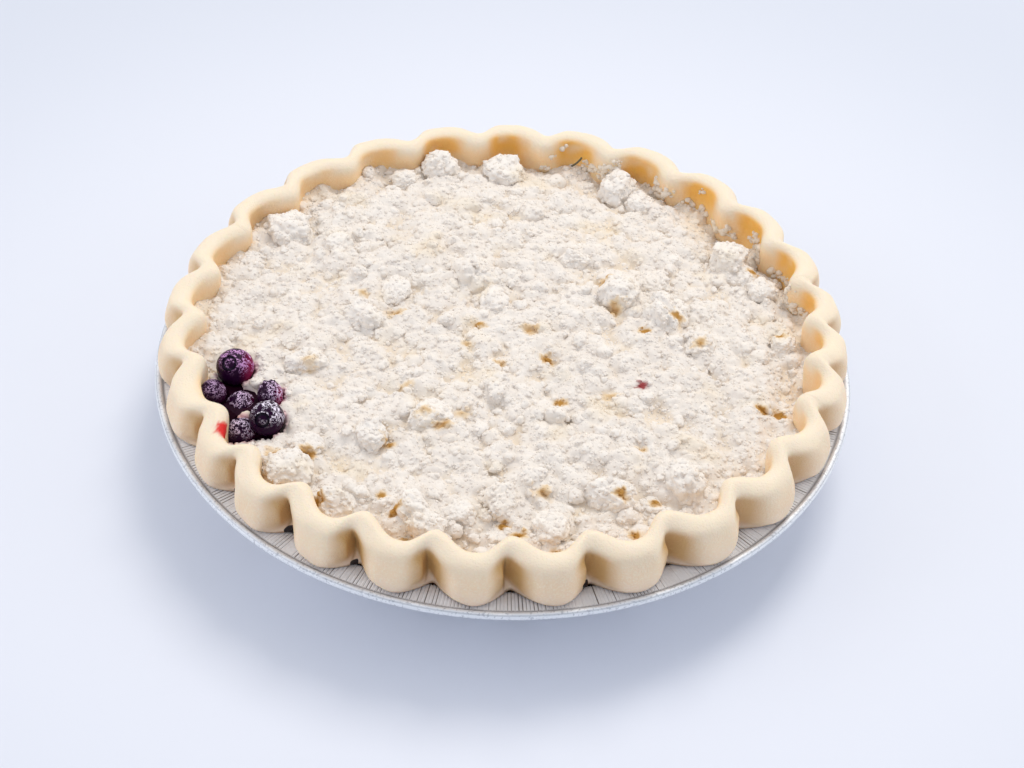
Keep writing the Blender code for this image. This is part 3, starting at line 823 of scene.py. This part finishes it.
def close_lid_below(lid):
    """Draw the edge down to the lid's underside and close it with one face."""
    edit_alone(lid)
    bpy.ops.mesh.select_mode(type="EDGE")
    bpy.ops.mesh.select_all(action="DESELECT")
    bpy.ops.mesh.select_non_manifold()
    bpy.ops.mesh.extrude_edges_move()
    bpy.ops.transform.resize(value=(0.985, 0.985, 0), center_override=(0, 0, LID_UNDERSIDE))
    bpy.ops.mesh.edge_face_add()
    bpy.ops.object.mode_set(mode="OBJECT")
    close_and_smooth(lid, 180)


# %% [markdown]
# Between the lumps, at the rim and on some loose crumbs the crumble is painted a warmer tan. It is
# painted shade, where little light reaches, warmed by the fruit that lies close below. Where it is
# soaked through it has ochre spots, darkest in the middle and a little sunk. Many of them lie in the gaps
# under clumps, where they also serve as painted shade. Juice has tinted the crumbs next to the berries
# pink, and one scrap is red.
# %% Values for the crumble's colours
OCHRE_SPOTS = np.array([
    # x, y and size in tenths of a millimetre, strength in hundredths
    (-95, 18, 32, 60), (150, -138, 32, 70), (199, -361, 30, 70), (-14, -172, 34, 45),
    (-393, 59, 40, 50), (-513, 154, 34, 40), (84, 0, 42, 45), (-190, -518, 40, 50),
    (-134, -444, 40, 35), (-253, -479, 38, 40), (-361, -596, 30, 60), (-132, -86, 30, 40),
    (379, 142, 36, 50), (488, 29, 26, 85), (369, -300, 34, 40), (-325, -313, 34, 30),
    (-640, -647, 40, 50), (-362, -587, 26, 60), (29, -937, 26, 90), (81, -973, 32, 70),
    (146, -787, 40, 45), (-370, -824, 26, 60), (-326, -897, 30, 70), (400, -806, 34, 60),
    (517, -784, 32, 60), (472, -561, 30, 50), (-285, -1014, 44, 60), (-585, -874, 40, 90),
    (198, -1032, 30, 80), (452, -923, 34, 70), (599, 92, 32, 60), (681, -36, 34, 50),
    (883, -311, 30, 70), (969, 71, 30, 60), (895, 430, 32, 70), (376, 153, 30, 40), (351, 314, 34, 50),
    (-621, -647, 34, 60), (-739, -654, 44, 40), (-669, -239, 40, 30), (949, -313, 36, 100),
    (-778, -769, 30, 90),
]) / (TENTHS, TENTHS, TENTHS, 100)
RED_SPOT = (0.0477, -0.0252, 0.0026)


def crumble_values(piece, points, hollow, pale):
    """Store each point's painted warm shade, and how pale, juicy, ochre and red it is."""
    juice = np.zeros(len(points))
    for centre, radius, *_ in BERRIES:
        apart = np.linalg.norm(points - np.array(centre), axis=1)
        juice = np.maximum(juice, 1 - smooth_step(radius, radius + 0.0020, apart))
    ragged = 1 + 0.55 * rough(points, 0.0024, 6.0) + 0.45 * rough(points, 0.0011, 2.0)
    # Ochre spots of soaked crumble; those in the gaps under clumps also serve as painted shade.
    ochre = np.zeros(len(points))
    for x, y, size, strength in OCHRE_SPOTS:
        apart = np.hypot(points[:, 0] - x, (points[:, 1] - y) * 1.5) * ragged
        ochre = np.maximum(ochre, (0.25 + strength) * (1 - smooth_step(size * 0.05, size * 1.35, apart)))
    apart = apart_from(points, RED_SPOT[0], RED_SPOT[1]) * ragged
    put_values(piece, hollow=hollow, pale=pale, juice=juice, ochre=ochre,
               red=1 - smooth_step(RED_SPOT[2] * 0.4, RED_SPOT[2], apart))


def lid_values(lid, points):
    """Store the values of the lid: painted warm shade in its hollows and at its rim by the pastry."""
    relief = lid_relief(points)
    hollow = 1 - smooth_step(-0.0034, -0.0014, relief)
    rim = smooth_step(0.94, 0.995, apart_from(points) / lid_edge(angle_of(points)))
    crumble_values(lid, points, np.maximum(hollow, rim * 0.9), np.zeros(len(points)))


# %% Crumble material
crumble, tree, shader = start_material("crumble", Roughness=0.92)
height, mottle = use_grain(tree, 1600.0, 130.0)
grits = on_object(tree, "ShaderNodeTexVoronoi", Scale=1050.0, Randomness=1.0)
bumps = add_node(tree, "ShaderNodeMath", operation="SUBTRACT")
tree.links.new(height, bumps.inputs[0])
tree.links.new(grits.outputs["Distance"], bumps.inputs[1])
colour = mixed(tree, ramp(tree, mottle, 0.35, 0.68), (0.795, 0.726, 0.655), (0.830, 0.768, 0.700))
patches = use_grain(tree, 1600.0, 48.0)[1]
spots = attribute(tree, "ochre")
# The warm tan is painted shade, and the ochre spots are partly painted shade under the clumps.
colour = tinted(
    tree, colour, ("pale", 0.70, (0.865, 0.808, 0.742)), ("hollow", 0.40, (0.760, 0.590, 0.380)),
    (ramp(tree, patches, 0.54, 0.70), 0.28, (0.800, 0.640, 0.400)),
    (ramp(tree, spots, 0.02, 0.60), 0.60, (0.740, 0.500, 0.210)),
    (ramp(tree, spots, 0.42, 0.85), 1.0, (0.470, 0.235, 0.045)),
    ("red", 1.0, (0.300, 0.040, 0.040)), ("juice", 0.65, (0.740, 0.300, 0.390)))
cover(tree, shader, colour, bumps.outputs[0], 0.00030, 0.3)
place_on_pie(make_lid(), crumble, "crumble_cream", "crumble")

# %% [markdown]
# ## Loose crumbs
#
# A loose piece is a ball whose points are pushed in and out by noise. A few different ones are made for
# each size, and then set down many times, turned and squashed differently, as one joined mesh for each
# size. The big clumps stand where the photograph shows them.
# %% Model a few crumbs of one kind
def model_crumbs(kind, subdivisions, count, roughness, grains=None):
    """Some rough lumps of radius 1, as pairs of points and triangles. Big ones are made of grains."""
    shapes = []
    for number in range(count):
        ball = bpy.ops.mesh.primitive_ico_sphere_add
        crumb = add_alone(ball, kind, subdivisions=subdivisions, radius=1.0)
        points = points_of(crumb)
        own = 10.0 * number
        lump = rough(points, 0.95, own + 3.3) * 0.85
        lump += rough(points, 0.42, own + 7.1) * 0.50
        if subdivisions > 2:
            lump += rough(points, 0.20, own + 1.7) * 0.26
        if grains:
            coarse = domes(points, grains * 2.2, own + 5.2) * 0.30
            lump += coarse + domes(points, grains, 2.0) * 0.22
        points = np.sign(points) * np.abs(points) ** 0.85
        points *= (1 + roughness * lump)[:, None]
        triangles = np.array([face.vertices for face in crumb.data.polygons])
        shapes.append((points, triangles))
        bpy.data.objects.remove(crumb)
    print(kind, count, "shapes of", len(shapes[0][1]), "faces")
    return shapes


# %% Set crumbs down as one joined piece
HIGHEST_CRUMB = 0.0524
HIGHEST_CLUMP = 0.0515
TRIES = 400
ABOVE_THE_PIE = 0.08


def scatter(name, shapes, places, sizes, seed, sink, ceiling=HIGHEST_CRUMB, pale=0.0, hollow=0.0):
    """One piece of copies of the shapes, each turned, squashed and sunk a little into the lid."""
    draw = np.random.default_rng(seed)
    all_points = []
    all_triangles = []
    shade = []
    start = 0
    for place, size in zip(places, sizes):
        points, triangles = shapes[draw.integers(len(shapes))]
        turn = Matrix.Rotation(draw.uniform(0, math.tau), 3, "Z")
        turn = turn @ Matrix.Rotation(draw.uniform(0, math.pi), 3, "X")
        moved = points @ np.array(turn).T
        moved = moved * np.array([1.0, draw.uniform(0.72, 1.0), draw.uniform(0.60, 0.85)]) * size / 2
        spin = Matrix.Rotation(draw.uniform(0, math.tau), 3, "Z")
        moved = moved @ np.array(spin).T
        low = moved[:, 2].min()
        height = moved[:, 2].max() - low
        rise = min(place[2] - height * draw.uniform(*sink), ceiling - height) - low
        moved = moved + np.array([place[0], place[1], rise])
        all_points.append(moved)
        all_triangles.append(triangles + start)
        # A random quarter of the crumbs get some painted warm shade, a little more on their lower parts.
        under = moved[:, 2] < place[2] + height * 0.10
        shade.append(np.full(len(points), draw.uniform(0, 1)) + 0.15 * under)
        start += len(points)
    points = np.vstack(all_points)
    piece = joined_mesh(name, points, np.vstack(all_triangles))
    depth = np.maximum(np.clip(np.concatenate(shade) - 0.75, 0, 1), hollow)
    crumble_values(piece, points, depth, np.full(len(points), pale))
    place_on_pie(piece, crumble, "crumble_cream")
    return piece


def joined_mesh(name, points, triangles):
    """One object from all the points and triangles of many copies."""
    mesh = bpy.data.meshes.new(name)
    mesh.vertices.add(len(points))
    mesh.vertices.foreach_set("co", points.astype(np.float32).ravel())
    mesh.loops.add(len(triangles) * 3)
    mesh.loops.foreach_set("vertex_index", triangles.astype(np.int32).ravel())
    mesh.polygons.add(len(triangles))
    mesh.polygons.foreach_set("loop_start", np.arange(0, len(triangles) * 3, 3, dtype=np.int32))
    mesh.update(calc_edges=True)
    mesh.validate()
    mesh.shade_smooth()
    piece = bpy.data.objects.new(name, mesh)
    bpy.context.scene.collection.objects.link(piece)
    return piece


def spots_on_lid(count, spacing, seed, reach=1.0):
    """Random spots on the lid. The spacing between them shrinks until there are enough."""
    draw = np.random.default_rng(seed)
    kept = np.zeros((0, 3))
    while len(kept) < count:
        angle = draw.uniform(0, math.tau, TRIES)
        radius = np.sqrt(draw.uniform(0, 1, TRIES)) * (lid_edge(angle) - LID_OVERLAP) * reach
        tries = round_axis(radius, angle)
        tries = tries[berry_dip(tries) < 0.12]
        for spot in tries:
            near = (kept[:, 0] - spot[0]) ** 2 + (kept[:, 1] - spot[1]) ** 2
            if near.min(initial=1.0) > spacing ** 2:
                kept = np.vstack([kept, spot])
        spacing *= 0.97
    kept = kept[:count]
    kept[:, 2] = lid_height(kept)
    return kept


def far_from_berries(places, gap):
    """The places whose distance to every berry is more than its radius and a gap."""
    keep = np.ones(len(places), bool)
    for centre, radius, *_ in BERRIES:
        keep &= apart_from(places, centre[0], centre[1]) > radius + gap
    return places[keep]


def lay_on(pieces, places):
    """Raise each place to the top of whichever piece lies uppermost there."""
    scene_now = bpy.context.evaluated_depsgraph_get()
    laid = places.copy()
    for piece in pieces:
        tree = BVHTree.FromObject(piece, scene_now)
        for number, (x, y) in enumerate(places[:, :2]):
            hit = tree.ray_cast(Vector((x, y, ABOVE_THE_PIE)), Vector((0, 0, -1)))[0]
            if hit is not None and hit.z > laid[number, 2]:
                laid[number, 2] = hit.z
    return laid


# %% [markdown]
# The clumps come first. Those that stand out in the photograph are listed by place and size.
# %% Big clumps
CLUMPS = np.array([
    # x, y and size in tenths of a millimetre
    (-125, 290, 170), (-48, 151, 120), (-284, 965, 125), (-43, 985, 150), (395, 925, 170),
    (237, 423, 100), (402, 233, 150), (-501, 31, 130), (-401, 181, 120), (-416, 905, 90),
    (-630, 447, 100), (-815, 540, 165), (483, 840, 110), (806, 499, 125), (870, 420, 90),
    (920, 340, 100), (554, 136, 165), (676, -4, 110), (983, 51, 80), (529, 323, 110), (-690, -725, 140),
    (-266, -889, 120), (-520, -865, 120), (-426, -560, 110), (-224, -956, 100), (-671, -211, 120),
    (-229, -460, 130), (371, -780, 145), (611, -697, 135), (-116, -885, 90), (177, -930, 120),
    (8, -842, 120), (506, -787, 80), (-170, -1000, 80), (-640, -600, 100),
]) / TENTHS
clump_places = CLUMPS * np.array([1, 1, 0])
clump_places[:, 2] = lid_height(clump_places)
clump_shapes = model_crumbs("clump", 5, 9, 0.34, grains=0.16)
clumps = scatter("crumble_clumps", clump_shapes, clump_places, CLUMPS[:, 2], 7, (0.42, 0.54),
                 HIGHEST_CLUMP, pale=1.0)

# %% [markdown]
# Three finer sizes follow. The lumps lie on the lid. The grains and the finest crumbs also lie on top of
# the clumps and lumps, so that every clump looks like a heap of grains too.
# %% Lumps
lump_shapes = model_crumbs("lump", 3, 10, 0.40, grains=0.34)
lump_places = far_from_berries(spots_on_lid(560, 0.0052, 8, 0.99), 0.0026)
lump_sizes = 0.0026 + 0.0046 * np.random.default_rng(9).uniform(0, 1, len(lump_places)) ** 3
lumps = scatter("crumble_lumps", lump_shapes, lump_places, lump_sizes, 10, (0.60, 0.83),
                HIGHEST_CLUMP, pale=0.6)

# %% Grains and fine crumbs
grain_shapes = model_crumbs("grain", 2, 8, 0.40)
grain_places = lay_on([clumps, lumps], spots_on_lid(2400, 0.0024, 11, 1.0))
grain_sizes = np.random.default_rng(12).uniform(0.0013, 0.0027, len(grain_places))
grains = scatter("crumble_grains", grain_shapes, grain_places, grain_sizes, 13, (0.62, 0.87))

fine_shapes = model_crumbs("fine crumb", 1, 8, 0.28)
for layer in range(2):
    fine_places = lay_on([clumps, lumps, grains], spots_on_lid(9500, 0.0009, 14 + layer, 1.0))
    fine_sizes = np.random.default_rng(25 + layer).uniform(0.0008, 0.0016, len(fine_places))
    name = f"crumble_fine_{layer + 1}"
    scatter(name, fine_shapes, fine_places, fine_sizes, 35 + layer, (0.70, 0.93))

# %% [markdown]
# Some crumbs cling to the dough in the pockets behind at the right, where the lid lies low. A few have
# dropped between the berries. All of them are given the full warm tan, as painted shade, since they lie
# in the shade of the pockets and the pit.
# %% Crumbs stuck on the pastry
def spots_on_wall(count, seed):
    """Random spots in patches on the pastry's inner face, behind at the right."""
    draw = np.random.default_rng(seed)
    angle = np.radians(draw.uniform(8, 85, count))
    place = 9.4 - 2.0 * draw.uniform(0, 1, count) ** 1.7
    points = edge_points(turn_at(angle), place)[0]
    return points[rough(points, 0.006, 3.0) > 0.05 + 0.24 * (9.0 - place)]


PIT_CRUMBS = [(-0.0865, -0.0463, 0.0385), (-0.0858, -0.0458, 0.0395), (-0.0868, -0.0312, 0.0395),
              (-0.0722, -0.0430, 0.0400), (-0.0842, -0.0472, 0.0380)]
wall_places = np.vstack([spots_on_wall(1700, 21), PIT_CRUMBS])
wall_sizes = 0.0008 + 0.0022 * np.random.default_rng(22).uniform(0, 1, len(wall_places)) ** 2
wall_sizes[-len(PIT_CRUMBS):] = 0.0034
# The stuck crumbs get the full painted warm shade.
scatter("crumble_stuck", grain_shapes, wall_places, wall_sizes, 23, (0.35, 0.65), pale=1.0, hollow=1.0)

# %% [markdown]
# ## Blueberries
#
# A blueberry is a slightly flattened ball with a crown: five short points round a sunken disc. It is
# modelled once at radius 1, from a sphere whose top is inset, raised, inset again and pushed down. Then
# it is copied for each of the six berries, turned to its own crown direction.
# %% Model one blueberry
CROWN_ANGLE = math.radians(30)


def select_cap(berry, angle):
    """Select the faces round the pole within an angle, in edit mode."""
    bpy.ops.object.mode_set(mode="OBJECT")
    limit = math.cos(angle)
    for face in berry.data.polygons:
        face.select = face.center.normalized().z > limit
    bpy.ops.object.mode_set(mode="EDIT")


def model_berry():
    """A berry of radius 1 whose crown points up."""
    ball = bpy.ops.mesh.primitive_uv_sphere_add
    berry = add_alone(ball, "berry", segments=60, ring_count=44, radius=1.0)
    bpy.ops.object.mode_set(mode="EDIT")
    bpy.ops.mesh.select_mode(type="FACE")
    bpy.ops.mesh.select_all(action="DESELECT")
    select_cap(berry, CROWN_ANGLE)
    for thickness, rise in ((0.04, 0.055), (0.04, 0.0), (0.03, -0.17), (0.09, -0.01), (0.03, 0.07)):
        bpy.ops.mesh.inset(thickness=thickness)
        bpy.ops.transform.translate(value=(0, 0, rise))
    bpy.ops.object.mode_set(mode="OBJECT")
    points = points_of(berry)
    across = apart_from(points)
    turn = angle_of(points)
    crown = np.exp(-((across - 0.45) / 0.05) ** 2) * (points[:, 2] > 0.5)
    star = 0.5 + 0.5 * np.cos(5 * turn + 0.6 * rough(points, 0.6))
    points[:, 2] += crown * (star * 0.09 - 0.03)
    points[:, :2] *= (1 + crown * star * 0.06)[:, None]
    put_points(berry, points)
    soften = berry.modifiers.new("soften", "SUBSURF")
    soften.levels = 1
    soften.render_levels = 1
    bpy.ops.object.modifier_apply(modifier=soften.name)
    return berry


# %% Copy the berry to its six places
BERRY_LOOKS = [
    # bloom, paleness of the bloom, flush
    (1.00, 0.25, 0.50), (0.60, 0.45, 0.05), (1.00, 0.60, 0.15), (1.00, 0.60, 0.50), (1.00, 1.00, 0.02),
    (1.00, 0.75, 0.10),
]


def set_berry(master, number, look):
    """A copy of the berry in its own size, dents, direction and place, with its own bloom."""
    centre, radius, stretch, crown = BERRIES[number - 1]
    berry = master.copy()
    berry.data = master.data.copy()
    berry.name = f"blueberry_{number}"
    bpy.context.scene.collection.objects.link(berry)
    unit = points_of(berry)
    dents = rough(unit, 0.8, 11.0 * number) * 0.035 + rough(unit, 0.25, 5.0 * number) * 0.008
    turn = Vector((0, 0, 1)).rotation_difference(Vector(crown)).to_matrix()
    points = unit * (1 + dents)[:, None] * np.array([1, 1, stretch]) * radius
    points = points @ np.array(turn).T
    put_points(berry, points + np.array(centre))
    bloom, pale, flush = look
    # How far each point faces up towards the light, where the bloom is painted as a painted highlight.
    facing_light = points @ np.array([0.25, 0.25, 0.93]) / radius
    across = apart_from(unit)
    above = unit[:, 2] > 0.5
    put_values(berry, bloom=bloom * smooth_step(-0.15, 0.80, facing_light), pale=np.full(len(unit), pale),
               flush=flush * smooth_step(0.25, 0.95, points[:, 0] / radius),
               crater=smooth_step(0.24, 0.29, across) * (1 - smooth_step(0.40, 0.44, across)) * above,
               lip=np.exp(-((across - 0.47) / 0.030) ** 2) * above)
    return berry


# %% [markdown]
# Ripe berries are almost black. A waxy bloom lies over the skin in fine pale flecks and rubs off in
# spots. The flecks are painted only on the sides that face up towards the light, so they also serve as a
# painted highlight, and the lower sides stay black. The right sides of some berries are magenta. The
# light is so soft that the skin hardly shines.
# %% Berry material
berry_skin, tree, shader = start_material("berry_skin", Specular_IOR_Level=0.08)
flecks = on_object(tree, "ShaderNodeTexNoise", Scale=1500.0, Detail=3.0, Roughness=0.60, Distortion=0.8)
patches = on_object(tree, "ShaderNodeTexNoise", Scale=330.0, Detail=2.0)
thin = scaled(tree, ramp(tree, flecks.outputs["Fac"], 0.485, 0.545), attribute(tree, "bloom"))
bloom_mask = scaled(tree, thin, ramp(tree, patches.outputs["Fac"], 0.40, 0.52))
colour = mixed(tree, attribute(tree, "flush"), (0.016, 0.001, 0.018), (0.360, 0.004, 0.075))
bloom_colour = mixed(tree, attribute(tree, "pale"), (0.520, 0.160, 0.500), (0.860, 0.780, 0.900))
colour = tinted(tree, colour, (bloom_mask, 1.0, bloom_colour), ("lip", thin, bloom_colour),
                ("crater", 0.92, (0.006, 0.003, 0.010)))
tree.links.new(ramp(tree, bloom_mask, -0.30, 1.0), shader.inputs["Roughness"])
cover(tree, shader, colour, flecks.outputs["Fac"], 0.00020, 0.6)

berry_master = model_berry()
for number, look in enumerate(BERRY_LOOKS, start=1):
    place_on_pie(set_berry(berry_master, number, look), berry_skin, "berry_skin", f"berry_{number}")
bpy.data.objects.remove(berry_master)

# %% [markdown]
# A bit of dry herb stem lies against the dough behind. It is a thin cylinder, bent a little and laid
# between two points.
# %% The herb stem
STEM_ENDS = (Vector((0.0218, 0.1030, 0.0402)), Vector((0.0256, 0.1040, 0.0438)))
STEM_RADIUS = 0.00038


def make_stem():
    """A thin bent cylinder between the two points."""
    cylinder = bpy.ops.mesh.primitive_cylinder_add
    stem = add_alone(cylinder, "herb_stem", vertices=10, radius=STEM_RADIUS, depth=1.0)
    bpy.ops.object.mode_set(mode="EDIT")
    bpy.ops.mesh.select_all(action="SELECT")
    bpy.ops.mesh.subdivide(number_cuts=3)
    bpy.ops.object.mode_set(mode="OBJECT")
    along = STEM_ENDS[1] - STEM_ENDS[0]
    points = points_of(stem)
    share = points[:, 2].copy()
    points[:, 0] += 0.0004 * np.cos(math.pi * share)
    points[:, 2] = share * along.length
    turn = Vector((0, 0, 1)).rotation_difference(along).to_matrix()
    middle = (STEM_ENDS[0] + STEM_ENDS[1]) / 2
    put_points(stem, points @ np.array(turn).T + np.array(middle))
    bpy.ops.object.shade_smooth()
    return stem


herb, tree, shader = start_material("dry_herb", Roughness=0.75)
height, mottle = use_grain(tree, 1800.0, 500.0)
colour = mixed(tree, mottle, (0.060, 0.050, 0.030), (0.150, 0.130, 0.070))
cover(tree, shader, colour, height, 0.0002, 0.5)
place_on_pie(make_stem(), herb, "crumble_cream")

# %% [markdown]
# ## The filling
#
# Only its bed shows, deep between the berries. The imported solid has the right shape there, so it stays
# and gets a nearly black purple: dark with juice, and darker still as painted shade between the berries.
# %% Filling material
# Nearly black purple: juice, and painted shade between the berries.
filling, tree, shader = start_material("filling_juice_and_shade", Roughness=0.45, Specular_IOR_Level=0.06)
height, mottle = use_grain(tree, 700.0, 200.0)
colour = mixed(tree, mottle, (0.006, 0.001, 0.006), (0.030, 0.002, 0.014))
cover(tree, shader, colour, height, 0.0006, 0.7)
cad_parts["filling"].data.materials.clear()
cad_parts["filling"].data.materials.append(filling)
